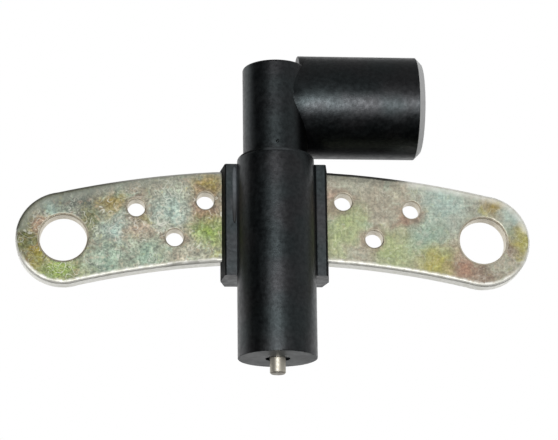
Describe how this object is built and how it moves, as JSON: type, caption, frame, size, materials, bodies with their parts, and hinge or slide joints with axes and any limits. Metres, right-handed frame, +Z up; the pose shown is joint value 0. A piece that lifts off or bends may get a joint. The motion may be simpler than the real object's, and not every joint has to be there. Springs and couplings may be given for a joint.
{
  "type": "crankshaft position sensor",
  "caption": "Inductive crankshaft position sensor: black moulded body with a round nose and side-facing connector barrel, gripped on a curved plated steel bracket that bolts to the engine.",
  "frame": {"origin": "midway between the two bolt holes, on the bracket's back face that sits on the engine", "axes": "+Z up the sensor axis away from the pole tip, +X towards the connector's mouth, +Y out of the bracket's back face into the engine"},
  "size_m": [0.093, 0.0208, 0.0603],
  "materials": {
    "black_plastic": "fine moulded texture, satin",
    "plated_steel": "zinc plated with a yellow iridescent passivation",
    "pole_iron": "nickel plated soft iron",
    "magnet_alloy": "sintered",
    "bobbin_plastic": "moulded",
    "copper_wire": "enamelled copper wire",
    "terminal_brass": "tinned brass sheet"
  },
  "bodies": {
    "root": {"housing": "black_plastic", "bracket": "plated_steel", "pole_pin": "pole_iron", "magnet": "magnet_alloy", "bobbin": "bobbin_plastic", "winding": "copper_wire", "upper_terminal": "terminal_brass", "lower_terminal": "terminal_brass"}
  },
  "joints": []
}
